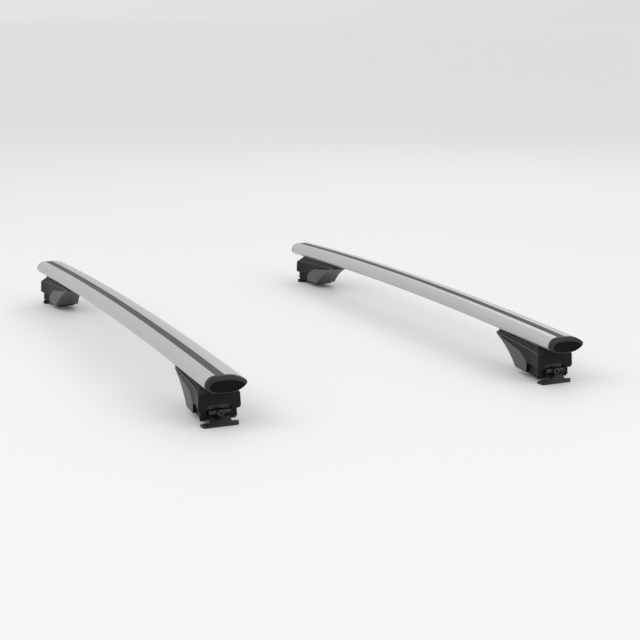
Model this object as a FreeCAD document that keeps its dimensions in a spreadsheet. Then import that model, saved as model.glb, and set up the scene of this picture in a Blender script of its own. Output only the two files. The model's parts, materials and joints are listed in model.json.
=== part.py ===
import FreeCAD, Part
import math
import os

import Sketcher

# A pair of arched roof cross bars: two hollow wing-section bars, each on two clamping feet.
# Frame: +X along the bars to the car's right, +Y forwards, +Z up, millimetres.
# The pair stands on its four claw lips at Z = 0, centred on X and Y.

doc = FreeCAD.newDocument("roof_cross_bars")
sheet = doc.addObject("Spreadsheet::Sheet", "dims")

DIMENSIONS = [
    ("bar_length", 1270, "length of one extruded bar along its arch"),
    ("bar_spacing", 717, "between the centre planes of the two bars"),
    ("bar_camber", 13, "rise of the middle of a bar over its ends"),
    ("bar_height", 86, "section centre above the floor at the bar's ends"),
    ("bar_chord", 80, "nose to tail"),
    ("crown_height", 17, "top flat above the section centre"),
    ("keel_depth", 16, "bottom flat below the section centre"),
    ("nose_radius", 7.5, "front edge of the wing"),
    ("nose_level", -1, "centre of the nose above the section centre"),
    ("tail_radius", 5, "rear edge of the wing"),
    ("tail_level", 0.5, "centre of the tail above the section centre"),
    ("crown_offset", 10, "top slot ahead of mid-chord"),
    ("crown_width", 22, "width of the top flat"),
    ("keel_offset", 3, "bottom flat ahead of mid-chord"),
    ("keel_width", 22, "width of the bottom flat"),
    ("bar_wall", 2.2, "wall of the extrusion"),
    ("slot_mouth", 17, "opening of the top slot"),
    ("slot_width", 25, "inside width of the top slot"),
    ("slot_lip", 2.2, "lip over the top slot"),
    ("slot_depth", 8, "top slot from the crown to its floor"),
    ("channel_mouth", 7, "opening of the lower channel"),
    ("channel_width", 16, "inside width of the lower channel"),
    ("channel_lip", 2.2, "lip under the lower channel"),
    ("channel_depth", 8, "lower channel from the keel to its roof"),
    ("strip_proud", 0.4, "rubber strip above the crown"),
    ("strip_foot", 2.5, "thickness of the strip's foot under the slot lips"),
    ("cap_length", 9, "end cap outside the bar"),
    ("cap_round", 2.2, "eased rim of the cap"),
    ("cap_border", 3.3, "rim around the recessed face"),
    ("cap_recess", 0.9, "depth of the recessed face"),
    ("plug_length", 14, "cap's tongue inside the bar"),
    ("plug_height", 9, "height of the tongue"),
    ("plug_width", 54, "width of the tongue"),
    ("foot_back", 32, "outer face of a foot inboard of the bar's end"),
    ("foot_length", 189, "foot from its outer face to its tip"),
    ("kink_back", 38, "flare of the foot's sides begins inboard of the outer face"),
    ("tip_half", 20, "half width of the foot at its tip"),
    ("kink_half", 33, "half width where the flare begins"),
    ("outer_half", 41, "half width at the outer face"),
    ("side_draft", 1.5, "how much a side leans out, each way from mid-height"),
    ("foot_over", 9, "foot above the saddle's seat before the seat is cut"),
    ("foot_bottom", 12.5, "underside of the foot's body"),
    ("ramp_back", 101, "lower end of the inner ramp inboard of the outer face"),
    ("ramp_over", 6, "upper end of the inner ramp above the saddle's seat"),
    ("ramp_radius", 240, "hollow of the inner ramp"),
    ("cover_bottom", 29, "lower edge of the cover"),
    ("cover_wall", 2.5, "wall of the cover"),
    ("cover_fit", 0.3, "clearance between the cover and the body"),
    ("cover_round", 4, "eased lower corners of the cover"),
    ("cover_rim", 6, "wall of the cover along its lower rim"),
    ("parting_back", 106, "top of the curved parting line inboard of the outer face"),
    ("parting_under", 5.5, "parting line there below the saddle's seat"),
    ("parting_radius", 72, "curve of the parting line"),
    ("parting_gap", 0.8, "groove at the parting line"),
    ("fin_back", 171, "inner end of the cover's upper strip inboard of the outer face"),
    ("fin_over", 4, "parting line at that end above the saddle's seat"),
    ("notch_width", 47, "arched notch for the claw"),
    ("notch_under", 17.5, "top of the arch below the saddle's seat"),
    ("notch_round", 6, "corner radius of the arch"),
    ("saddle_depth", 29, "saddle's underside below the section centre"),
    ("saddle_lead", 3, "saddle's inner end beyond the foot's tip"),
    ("saddle_inset", 1, "saddle's lowest step inside the foot's outline"),
    ("saddle_step", 3.5, "each step inside the one below it"),
    ("saddle_rise", 4.5, "height of each step"),
    ("saddle_rim", 9, "top of the saddle's sides below the section centre"),
    ("saddle_lean", 36, "outer end of the saddle leans inboard over its height"),
    ("pad_thickness", 3.5, "rubber pad under the foot"),
    ("pad_inset", 8, "pad inside the foot's outline"),
    ("pad_back", 97, "inner end of the pad inboard of the outer face"),
    ("pin_back", 9, "claw pin inboard of the foot's outer face"),
    ("pin_under", 9, "claw pin below the saddle's seat"),
    ("pin_radius", 3, "claw pin"),
    ("pin_half", 27, "half length of the claw pin"),
    ("pin_play", 0.05, "running clearance on the pin"),
    ("knuckle_radius", 5.5, "eye at the top of the claw"),
    ("claw_half", 21, "half width of the claw's neck"),
    ("claw_plate", 4, "thickness of the claw's plate"),
    ("claw_room", 0.8, "clearance round the claw in the body"),
    ("shoulder_radius", 5.5, "rolled shoulders of the claw"),
    ("shoulder_gap", 7, "half width of the bolt's place between them"),
    ("lip_half", 35, "half width of the claw's lip"),
    ("lip_out", 10, "outer edge of the lip beyond the foot's outer face"),
    ("lip_back", 9, "inner edge of the hook inboard of the foot's outer face"),
    ("lip_thickness", 3, "thickness of the hook"),
    ("lip_rise", 4, "height of the lip's outer wall"),
    ("lip_round", 6, "rounded ends of the lip"),
    ("liner_thickness", 1.2, "rubber liner inside the lip"),
    ("bolt_z", 25, "clamp bolt above the floor"),
    ("bolt_radius", 4, "clamp bolt"),
    ("bolt_back", 44, "inner end of the clamp bolt inboard of the outer face"),
    ("bolt_head", 6.5, "radius of its head"),
    ("bolt_head_length", 5, "length of its head"),
    ("bolt_socket", 3, "radius of its hexagon socket"),
    ("bolt_clearance", 0.35, "clearance round the bolts"),
    ("washer_radius", 5, "half-round bearing under the bolt's head"),
    ("washer_half", 6.5, "half length of that bearing"),
    ("washer_rest", 0.3, "bearing clear of the claw's plate"),
    ("nut_back", 33, "inner face of the clamp nut inboard of the outer face"),
    ("nut_length", 6.5, "clamp nut along the bolt"),
    ("nut_side", 13, "square clamp nut"),
    ("nut_room", 0.2, "clearance of the nut in its pocket"),
    ("inner_screw_back", 83, "inner saddle screw inboard of the foot's outer face"),
    ("outer_screw_back", 57, "outer saddle screw inboard of the foot's outer face"),
    ("screw_radius", 3, "saddle screws"),
    ("screw_head", 5, "radius of their heads"),
    ("screw_head_length", 6, "length of their heads"),
    ("screw_seat", 9, "body left under the saddle by the screws' bores"),
    ("slider_length", 18, "sliding nut along the channel"),
    ("slider_height", 4, "height of a sliding nut"),
    ("slider_room", 0.4, "clearance of the sliding nut in the channel, each side"),
]


class Size:
    """A number together with the sheet formula it comes from."""

    def __init__(self, value, text):
        self.value = value
        self.text = text

    def join(self, other, sign, value):
        return Size(value, f"({self.text} {sign} {formula(other)})")

    def __add__(self, other):
        return self.join(other, "+", self.value + number(other))

    def __sub__(self, other):
        return self.join(other, "-", self.value - number(other))

    def __mul__(self, other):
        return self.join(other, "*", self.value * number(other))

    def __truediv__(self, other):
        return self.join(other, "/", self.value / number(other))

    def __neg__(self):
        return self * -1


def number(item):
    return item.value if isinstance(item, Size) else item


def formula(item):
    return item.text if isinstance(item, Size) else repr(item)


def bind(feature, **sizes):
    """Tie properties to the sheet; a double underscore stands for a dot."""
    for name, size in sizes.items():
        path = name.replace("__", ".")
        feature.setExpression(path, formula(size))


ZERO = Size(0, "0")
d = {}
for row, (alias, value, meaning) in enumerate(DIMENSIONS, start=1):
    sheet.set(f"A{row}", meaning)
    sheet.set(f"B{row}", str(value))
    sheet.setAlias(f"B{row}", alias)
    d[alias] = Size(value, f"dims.{alias}")
doc.recompute()

# The arch: its radius, the turn from the middle to one end, and the height of the crown of the arch
arch_radius = d["bar_length"] * d["bar_length"] / (d["bar_camber"] * 8)
turn_per_length = Size(1 / math.pi, "(1 / pi)") * 180 / arch_radius
arch_level = d["bar_height"] + d["bar_camber"]
half_chord = d["bar_chord"] / 2

# Places along a bar, all measured from the outer face of its foot
d["foot_outer"] = d["bar_length"] / 2 - d["foot_back"]
d["lip_reach"] = d["foot_outer"] + d["lip_out"]
PLACES = {
    "foot_tip": "foot_length", "foot_kink": "kink_back", "ramp_foot": "ramp_back",
    "parting_x": "parting_back", "fin_end": "fin_back", "pad_start": "pad_back", "pin_x": "pin_back",
    "lip_inner": "lip_back", "bolt_tip": "bolt_back", "nut_x": "nut_back",
    "screw_inner": "inner_screw_back", "screw_outer": "outer_screw_back",
}
for spot, back in PLACES.items():
    d[spot] = d["foot_outer"] - d[back]
saddle_middle = d["foot_outer"] - d["foot_length"] / 2

# Heights in a foot that follow the saddle's seat at the bar's end
seat_level = d["bar_height"] - d["saddle_depth"]
d["foot_top"] = seat_level + d["foot_over"]
d["ramp_top"] = seat_level + d["ramp_over"]
d["fin_level"] = seat_level + d["fin_over"]
d["parting_z"] = seat_level - d["parting_under"]
d["notch_top"] = seat_level - d["notch_under"]
d["pin_z"] = seat_level - d["pin_under"]
washer_x = d["pin_x"] + d["claw_plate"] + d["washer_rest"] + d["washer_radius"]

SECTION = FreeCAD.Rotation(FreeCAD.Vector(1, 1, 1), 120)
SIDE = FreeCAD.Rotation(FreeCAD.Vector(1, 0, 0), 90)
PLAN = FreeCAD.Rotation()
ORIGIN = (-1, 1)
SADDLE_STEPS = 3


def add(kind, name, **properties):
    feature = doc.addObject(kind, name)
    for key, item in properties.items():
        setattr(feature, key, item)
    return feature


def pin_point(sketch, geometry, place, across, up):
    """Fix one point of a sketch by its two distances from the sketch's origin."""
    for kind, size in (("DistanceX", across), ("DistanceY", up)):
        index = sketch.addConstraint(
            Sketcher.Constraint(kind, *ORIGIN, geometry, place, number(size)))
        if isinstance(size, Size):
            sketch.setExpression(f"Constraints[{index}]", formula(size))


def vector(across, up):
    return FreeCAD.Vector(number(across), number(up), 0)


def new_sketch(name, rotation):
    sketch = doc.addObject("Sketcher::SketchObject", name)
    sketch.Placement = FreeCAD.Placement(FreeCAD.Vector(), rotation)
    return sketch


def polygon(name, rotation, points, bulges=None):
    """A closed outline of straight edges; bulges gives {edge: (radius, centre on the left)}."""
    sketch = new_sketch(name, rotation)
    bulges = bulges or {}
    count = len(points)
    ends = []
    for index in range(count):
        start = vector(*points[index])
        end = vector(*points[(index + 1) % count])
        if index not in bulges:
            sketch.addGeometry(Part.LineSegment(start, end))
            ends.append((1, 2))
            continue
        radius, left = bulges[index]
        chord = end - start
        rise = math.sqrt(number(radius) ** 2 - (chord.Length / 2) ** 2)
        normal = FreeCAD.Vector(-chord.y, chord.x, 0).normalize()
        centre = (start + end) / 2 + normal * (rise if left else -rise)
        angles = [math.atan2(p.y - centre.y, p.x - centre.x) for p in (start, end)]
        circle = Part.Circle(centre, FreeCAD.Vector(0, 0, 1), number(radius))
        if left:
            sketch.addGeometry(Part.ArcOfCircle(circle, angles[0], angles[1]))
            ends.append((1, 2))
        else:
            sketch.addGeometry(Part.ArcOfCircle(circle, angles[1], angles[0]))
            ends.append((2, 1))
    for index in range(count):
        after = (index + 1) % count
        sketch.addConstraint(
            Sketcher.Constraint("Coincident", index, ends[index][1], after, ends[after][0]))
    for index, (radius, _) in bulges.items():
        row = sketch.addConstraint(Sketcher.Constraint("Radius", index, number(radius)))
        sketch.setExpression(f"Constraints[{row}]", formula(radius))
    for index, (across, up) in enumerate(points):
        pin_point(sketch, index, ends[index][0], across, up)
    return sketch


def wing(name, inset):
    """The wing section as eight tangent lines and arcs, moved inwards by inset."""
    sketch = new_sketch(name, SECTION)
    top = d["crown_height"] - inset
    bottom = -d["keel_depth"] + inset
    crown = [d["crown_offset"] + d["crown_width"] * half for half in (0.5, -0.5)]
    keel = [d["keel_offset"] + d["keel_width"] * half for half in (-0.5, 0.5)]
    nose = (half_chord - d["nose_radius"], d["nose_level"], d["nose_radius"] - inset)
    tail = (d["tail_radius"] - half_chord, d["tail_level"], d["tail_radius"] - inset)

    def flank(edge, level, tip):
        """Radius of the arc that leaves a flat's end and meets a tip circle, and its centre."""
        across = number(tip[0]) - number(edge)
        up = abs(number(tip[1]) - number(level))
        tip_radius = number(tip[2])
        radius = (across ** 2 + up ** 2 - tip_radius ** 2) / (2 * (up - tip_radius))
        side = -1 if number(level) > 0 else 1
        return radius, vector(edge, number(level) + side * radius)

    def towards(centre, tip):
        return math.atan2(number(tip[1]) - centre.y, number(tip[0]) - centre.x)

    def arc(centre, radius, start, end):
        circle = Part.Circle(centre, FreeCAD.Vector(0, 0, 1), radius)
        sketch.addGeometry(Part.ArcOfCircle(circle, start, end))

    flanks = {
        "top_rear": flank(crown[1], top, tail),
        "bottom_rear": flank(keel[0], bottom, tail),
        "bottom_front": flank(keel[1], bottom, nose),
        "top_front": flank(crown[0], top, nose),
    }
    turns = {key: towards(item[1], tail if "rear" in key else nose) for key, item in flanks.items()}
    quarter = math.pi / 2
    sketch.addGeometry(Part.LineSegment(vector(crown[0], top), vector(crown[1], top)))
    arc(flanks["top_rear"][1], flanks["top_rear"][0], quarter, turns["top_rear"])
    arc(vector(tail[0], tail[1]), number(tail[2]), turns["top_rear"], turns["bottom_rear"])
    arc(flanks["bottom_rear"][1], flanks["bottom_rear"][0], turns["bottom_rear"], -quarter)
    sketch.addGeometry(Part.LineSegment(vector(keel[0], bottom), vector(keel[1], bottom)))
    arc(flanks["bottom_front"][1], flanks["bottom_front"][0], -quarter, turns["bottom_front"])
    arc(vector(nose[0], nose[1]), number(nose[2]), turns["bottom_front"], turns["top_front"])
    arc(flanks["top_front"][1], flanks["top_front"][0], turns["top_front"], quarter)
    for index in range(8):
        sketch.addConstraint(Sketcher.Constraint("Tangent", index, 2, (index + 1) % 8, 1))
    pin_point(sketch, 0, 1, crown[0], top)
    pin_point(sketch, 0, 2, crown[1], top)
    pin_point(sketch, 4, 1, keel[0], bottom)
    pin_point(sketch, 4, 2, keel[1], bottom)
    for index, tip in ((2, tail), (6, nose)):
        pin_point(sketch, index, 3, tip[0], tip[1])
        row = sketch.addConstraint(Sketcher.Constraint("Radius", index, number(tip[2])))
        sketch.setExpression(f"Constraints[{row}]", formula(tip[2]))
    return sketch


def rectangle(name, rotation, low, high):
    return polygon(name, rotation, [low, (high[0], low[1]), high, (low[0], high[1])])


def arched(name, sketch, length):
    """Turn a section about the arch's far-off axis, half the length each way from the crown."""
    feature = add("Part::Revolution", name, Source=sketch, Solid=True, Symmetric=True)
    feature.Axis = FreeCAD.Vector(0, 1, 0)
    bind(feature, Base__z=-arch_radius, Angle=length * turn_per_length)
    return feature


def along_arch(feature, distance, side=1):
    """Carry a piece made at the crown of the arch to its place along the bar, at floor level."""
    turn = distance * turn_per_length * side
    feature.Placement = FreeCAD.Placement(FreeCAD.Vector(), FreeCAD.Vector(0, 1, 0), number(turn))
    bind(feature, Placement__Rotation__Angle=turn)
    across = Size(math.sin(math.radians(turn.value)), f"sin({turn.text} * 1 deg)")
    down = Size(math.cos(math.radians(turn.value)), f"cos({turn.text} * 1 deg)")
    bind(feature, Placement__Base__x=arch_radius * across)
    bind(feature, Placement__Base__z=arch_level + arch_radius * down - arch_radius)
    return feature


def extruded(name, sketch, length, symmetric=False, direction=None):
    feature = add("Part::Extrusion", name, Base=sketch, Solid=True, Symmetric=symmetric)
    feature.DirMode = "Custom"
    feature.Dir = direction or sketch.Placement.Rotation.multVec(FreeCAD.Vector(0, 0, 1))
    bind(feature, LengthFwd=length)
    return feature


def cut(name, base, *tools):
    tool = tools[0] if len(tools) == 1 else add("Part::MultiFuse", name + "_tools", Shapes=list(tools))
    return add("Part::Cut", name, Base=base, Tool=tool)


def fuse(name, *shapes):
    return add("Part::MultiFuse", name, Shapes=list(shapes))


def common(name, *shapes):
    return add("Part::MultiCommon", name, Shapes=list(shapes))


def ease_edges(kind, name, base, radius, chosen):
    """Fillet or chamfer the edges of base that the test picks."""
    doc.recompute()
    feature = add(kind, name, Base=base)
    rows = [(i, number(radius), number(radius)) for i, e in enumerate(base.Shape.Edges, 1) if chosen(e)]
    feature.Edges = rows
    return feature


def box(name, low, high):
    feature = add("Part::Box", name)
    bind(feature, Length=high[0] - low[0], Width=high[1] - low[1], Height=high[2] - low[2])
    bind(feature, Placement__Base__x=low[0], Placement__Base__y=low[1], Placement__Base__z=low[2])
    return feature


def rod(name, axis, radius, length, x=None, y=None, z=None):
    """A cylinder along an axis, starting at the given place."""
    feature = add("Part::Cylinder", name)
    turns = {
        "x": FreeCAD.Rotation(FreeCAD.Vector(0, 1, 0), 90),
        "y": FreeCAD.Rotation(FreeCAD.Vector(1, 0, 0), -90),
        "z": FreeCAD.Rotation(),
    }
    feature.Placement = FreeCAD.Placement(FreeCAD.Vector(), turns[axis])
    bind(feature, Radius=radius, Height=length)
    for key, size in (("x", x), ("y", y), ("z", z)):
        if size is not None:
            feature.setExpression(f"Placement.Base.{key}", formula(size))
    return feature


def bar_profile(name):
    """The hollow extrusion: wing outline, top slot, lower channel and the chamber round them."""
    length = d["bar_length"]
    beyond = length + d["bar_wall"]
    slot_half = d["slot_width"] / 2
    mouth_half = d["slot_mouth"] / 2
    channel_half = d["channel_width"] / 2
    way_half = d["channel_mouth"] / 2
    crown = d["crown_height"]
    keel = -d["keel_depth"]
    ahead = d["crown_offset"]
    outline = arched(name + "_outline", wing(name + "_wing", ZERO), length)

    def groove(part, low, high):
        return arched(f"{name}_{part}", rectangle(f"{name}_{part}_sketch", SECTION, low, high), beyond)

    slot = groove("slot", (ahead - slot_half, crown - d["slot_depth"]),
                  (ahead + slot_half, crown - d["slot_lip"]))
    mouth = groove("mouth", (ahead - mouth_half, crown - d["slot_depth"]),
                   (ahead + mouth_half, crown + d["slot_lip"]))
    channel = groove("channel", (-channel_half, keel + d["channel_lip"]),
                     (channel_half, keel + d["channel_depth"]))
    way = groove("way", (-way_half, keel - d["channel_lip"]), (way_half, keel + d["channel_depth"]))
    room = arched(name + "_room", wing(name + "_room_wing", d["bar_wall"]), beyond)
    wall = d["bar_wall"]
    upper = groove("upper_web", (ahead - slot_half - wall, crown - d["slot_depth"] - wall),
                   (ahead + slot_half + wall, crown))
    lower = groove("lower_web", (-channel_half - wall, keel),
                   (channel_half + wall, keel + d["channel_depth"] + wall))
    chamber = cut(name + "_chamber", room, upper, lower)
    return cut(name, outline, slot, mouth, channel, way, chamber)


def slot_strip(name):
    """The rubber strip: a T whose foot lies under the slot's lips."""
    ahead = d["crown_offset"]
    mouth = d["slot_mouth"] / 2
    foot = d["slot_width"] / 2 - d["slider_room"]
    top = d["crown_height"] + d["strip_proud"]
    shelf = d["crown_height"] - d["slot_lip"]
    low = shelf - d["strip_foot"]
    points = [(ahead - foot, low), (ahead + foot, low), (ahead + foot, shelf), (ahead + mouth, shelf),
              (ahead + mouth, top), (ahead - mouth, top), (ahead - mouth, shelf), (ahead - foot, shelf)]
    return arched(name, polygon(name + "_sketch", SECTION, points), d["bar_length"])


def end_cap(name, side):
    """A moulded cap: rounded rim, recessed face, and a tongue that plugs into the bar."""
    outward = FreeCAD.Vector(side, 0, 0)
    block = extruded(name + "_block", wing(name + "_wing", ZERO), d["cap_length"], direction=outward)
    face = side * number(d["cap_length"])
    rim = ease_edges("Part::Chamfer", name + "_rim", block, d["cap_round"],
                     lambda edge: all(abs(v.Point.x - face) < 1e-6 for v in edge.Vertexes))
    dish = extruded(name + "_dish", wing(name + "_dish_wing", d["cap_border"]), d["cap_recess"],
                    direction=outward)
    bind(dish, Placement__Base__x=(d["cap_length"] - d["cap_recess"]) * side)
    half = d["plug_width"] / 2
    tall = d["plug_height"] / 2
    plug = rectangle(name + "_tongue_sketch", SECTION, (-half, -tall), (half, tall))
    tongue = extruded(name + "_tongue", plug, d["plug_length"], direction=-outward)
    return fuse(name, cut(name + "_face", rim, dish), tongue)


def foot_form(name, inset):
    """The foot's tapering plan, drawn at its underside and its top, with leaning sides between."""
    low = d["foot_bottom"] - d["pad_thickness"]
    sections = []
    for part, level, lean in (("low", low, d["side_draft"]), ("high", d["foot_top"], -d["side_draft"])):
        rows = [(d["foot_tip"] + inset, d["tip_half"] - inset),
                (d["foot_kink"], d["kink_half"] + lean - inset),
                (d["foot_outer"] - inset, d["outer_half"] + lean - inset)]
        points = [(x, -y) for x, y in rows] + [(x, y) for x, y in reversed(rows)]
        sketch = polygon(f"{name}_{part}", PLAN, points)
        bind(sketch, Placement__Base__z=level)
        sections.append(sketch)
    return add("Part::Loft", name, Sections=sections, Solid=True, Ruled=True)


def side_prism(name, points, bulges=None):
    """A side outline drawn in X and Z, carried through the whole width of a foot."""
    sketch = polygon(name + "_sketch", SIDE, points, bulges)
    return extruded(name, sketch, d["bar_chord"] * 2, symmetric=True)


def parting_foot(gap):
    """Where the parting line meets the level of the cover's lower edge."""
    radius = d["parting_radius"] + gap
    drop = d["parting_radius"] - d["parting_z"] + d["cover_bottom"]
    reach = Size(math.sqrt(radius.value ** 2 - drop.value ** 2), f"sqrt({radius.text}^2 - {drop.text}^2)")
    return d["parting_x"] + reach


def parting(name, gap):
    """Everything outboard of the curved parting line, moved outwards by gap."""
    far = d["foot_outer"] + d["cap_length"]
    high = d["foot_top"] + d["cap_length"]
    level = d["cover_bottom"]
    radius = d["parting_radius"] + gap
    points = [(parting_foot(gap), level), (far, level), (far, high), (d["fin_end"], high),
              (d["fin_end"], d["fin_level"] + gap), (d["parting_x"], d["parting_z"] + gap)]
    return side_prism(name, points, {5: (radius, False)})


def slab(name, low, high):
    """A block across the whole foot between two heights."""
    wide = d["bar_chord"]
    return box(name, (d["foot_tip"] - wide, -wide, low), (d["foot_outer"] + wide, wide, high))


def core(name, fit):
    """What the cover leaves free inside: a wide upper part over a narrower lower part."""
    split = d["cover_bottom"] + d["cover_round"]
    base = d["foot_bottom"] - d["pad_thickness"]
    upper = common(name + "_upper", foot_form(name + "_upper_form", d["cover_wall"] + fit),
                   slab(name + "_upper_slab", split + fit, d["foot_top"] + fit))
    lower = common(name + "_lower", foot_form(name + "_lower_form", d["cover_rim"] + fit),
                   slab(name + "_lower_slab", base, split + fit))
    return fuse(name, upper, lower)


def claw_room(name):
    """The space between the body's cheeks where the claw hangs and swings."""
    wide = d["claw_half"] + d["claw_room"]
    low = (d["pin_x"] - d["knuckle_radius"] - d["claw_room"], -wide, ZERO)
    high = (d["foot_outer"] + d["cap_length"], wide, d["pin_z"] + d["knuckle_radius"] + d["claw_room"])
    return box(name, low, high)


def screw_way(name, distance, side=1):
    """Clearance hole and head bore of one saddle screw, square to the bar."""
    seat = -d["saddle_depth"] - d["screw_seat"]
    hole = rod(name + "_hole", "z", d["screw_radius"] + d["bolt_clearance"], -seat, z=seat)
    deep = d["bar_height"]
    bore = rod(name + "_bore", "z", d["screw_head"] + d["bolt_clearance"], deep, z=seat - deep)
    return along_arch(fuse(name, hole, bore), distance, side)


def along_foot(name, sketch, side=1):
    """A section carried along the arch over the whole length of a foot and beyond."""
    return along_arch(arched(name, sketch, d["foot_length"] * 2), saddle_middle, side)


def above_saddle(name, fit):
    """Everything above the saddle's underside, following the arch."""
    half = d["bar_chord"]
    low = -d["saddle_depth"] - fit
    sketch = rectangle(name + "_sketch", SECTION, (-half, low), (half, d["crown_height"] * 2))
    return along_foot(name, sketch)


def foot_body():
    """The moulded body: a full-width fin inboard of the parting line and a core under the cover."""
    low = d["foot_bottom"]
    far = d["foot_outer"] + d["cap_length"]
    high = d["foot_top"] + d["cap_length"] * 2
    outline = [(d["foot_tip"], high), (d["foot_tip"], d["ramp_top"]), (d["ramp_foot"], low), (far, low),
               (far, high)]
    ramp = {1: (d["ramp_radius"], False)}
    form = common("body_fin_form", foot_form("body_form", ZERO), side_prism("body_side", outline, ramp))
    under = box("body_under_cover", (parting_foot(ZERO), -d["bar_chord"], ZERO),
                (far, d["bar_chord"], d["cover_bottom"]))
    fin = cut("body_fin", form, parting("body_parting", ZERO), under, slab("body_below", ZERO, low))
    inner = common("body_core", core("body_core_form", d["cover_fit"]),
                   side_prism("body_core_side", outline, ramp))
    whole = fuse("body_whole", fin, inner)
    nut_half = d["nut_side"] / 2 + d["nut_room"]
    pocket = box("body_nut_pocket", (d["nut_x"] - d["nut_room"], -nut_half, ZERO),
                 (d["nut_x"] + d["nut_length"] + d["nut_room"], nut_half, d["bolt_z"] + nut_half))
    bore = rod("body_bolt_bore", "x", d["bolt_radius"] + d["bolt_clearance"],
               d["foot_outer"] - d["bolt_tip"] + d["cap_length"],
               x=d["bolt_tip"] - d["pin_radius"], z=d["bolt_z"])
    hinge = rod("body_pin_bore", "y", d["pin_radius"], d["pin_half"] * 2, x=d["pin_x"], y=-d["pin_half"],
                z=d["pin_z"])
    ways = [screw_way(f"body_{part}_screw", d[f"screw_{part}"]) for part in ("inner", "outer")]
    return cut("foot_body", whole, above_saddle("body_above_saddle", ZERO), claw_room("body_claw_room"),
               pocket, bore, hinge, *ways)


def outer_cover():
    """The cover: a shell with rounded lower corners and an arched notch for the claw."""
    block = common("cover_block", foot_form("cover_form", ZERO), parting("cover_parting", d["parting_gap"]))
    level = number(d["cover_bottom"])

    def lower_side(edge):
        ends = [v.Point for v in edge.Vertexes]
        run = ends[-1] - ends[0]
        return all(abs(p.z - level) < 1e-6 for p in ends) and abs(run.x) > abs(run.y)

    rounded = ease_edges("Part::Chamfer", "cover_eased", block, d["cover_round"], lower_side)
    half = d["notch_width"] / 2
    arch = box("cover_notch_block", (d["pin_x"], -half, ZERO),
               (d["foot_outer"] + d["cap_length"], half, d["notch_top"]))

    def notch_corner(edge):
        ends = [v.Point for v in edge.Vertexes]
        level_run = all(abs(p.z - number(d["notch_top"])) < 1e-6 for p in ends)
        return level_run and abs(ends[0].x - ends[-1].x) > 1

    notch = ease_edges("Part::Fillet", "cover_notch", arch, d["notch_round"], notch_corner)
    saddle_room = above_saddle("cover_saddle_room", d["cover_fit"])
    return cut("outer_cover", rounded, core("cover_core", ZERO), notch, saddle_room)


def saddle_step(name, row, side):
    """One step of a saddle: the foot's plan, drawn in a little, between two heights over the arch."""
    inset = d["saddle_inset"] + d["saddle_step"] * row
    corners = [(d["foot_tip"] - d["saddle_lead"] + d["saddle_step"] * row, d["tip_half"] - inset),
               (d["foot_kink"], d["kink_half"] - inset), (d["foot_outer"] - inset, d["outer_half"] - inset)]
    points = [(x * side, -y) for x, y in corners] + [(x * side, y) for x, y in reversed(corners)]
    plan = extruded(name + "_plan", polygon(name + "_plan_sketch", PLAN, points), arch_level)
    low = d["saddle_rise"] * row - d["saddle_depth"]
    high = -d["saddle_rim"] if row == SADDLE_STEPS - 1 else low + d["saddle_rise"]
    half = d["bar_chord"]
    sketch = rectangle(name + "_band_sketch", SECTION, (-half, low), (half, high))
    return common(name, plan, along_foot(name + "_band", sketch, side))


def saddle(side):
    """The stepped rubber saddle between the bar and the foot, shaped to the wing above it."""
    name = "saddle_right" if side > 0 else "saddle_left"
    steps = [saddle_step(f"{name}_step_{row}", row, side) for row in range(SADDLE_STEPS)]
    block = fuse(name + "_block", *steps)
    wing_room = along_foot(name + "_wing_room", wing(name + "_wing", ZERO), side)
    far = d["lip_reach"]
    lean = [(d["foot_outer"] * side, seat_level), (far * side, seat_level), (far * side, d["bar_height"]),
            ((d["foot_outer"] - d["saddle_lean"]) * side, d["bar_height"])]
    ways = [screw_way(f"{name}_{part}_screw", d[f"screw_{part}"], side) for part in ("inner", "outer")]
    return cut(name, block, wing_room, side_prism(name + "_lean", lean), *ways)


def rail_pad():
    low = d["foot_bottom"] - d["pad_thickness"]
    wide = d["bar_chord"]
    layer = box("pad_layer", (d["pad_start"], -wide, low), (d["foot_outer"], wide, d["foot_bottom"]))
    sheet_form = common("pad_sheet", foot_form("pad_form", d["pad_inset"]), layer)
    return cut("rail_pad", sheet_form, claw_room("pad_claw_room"))


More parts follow.
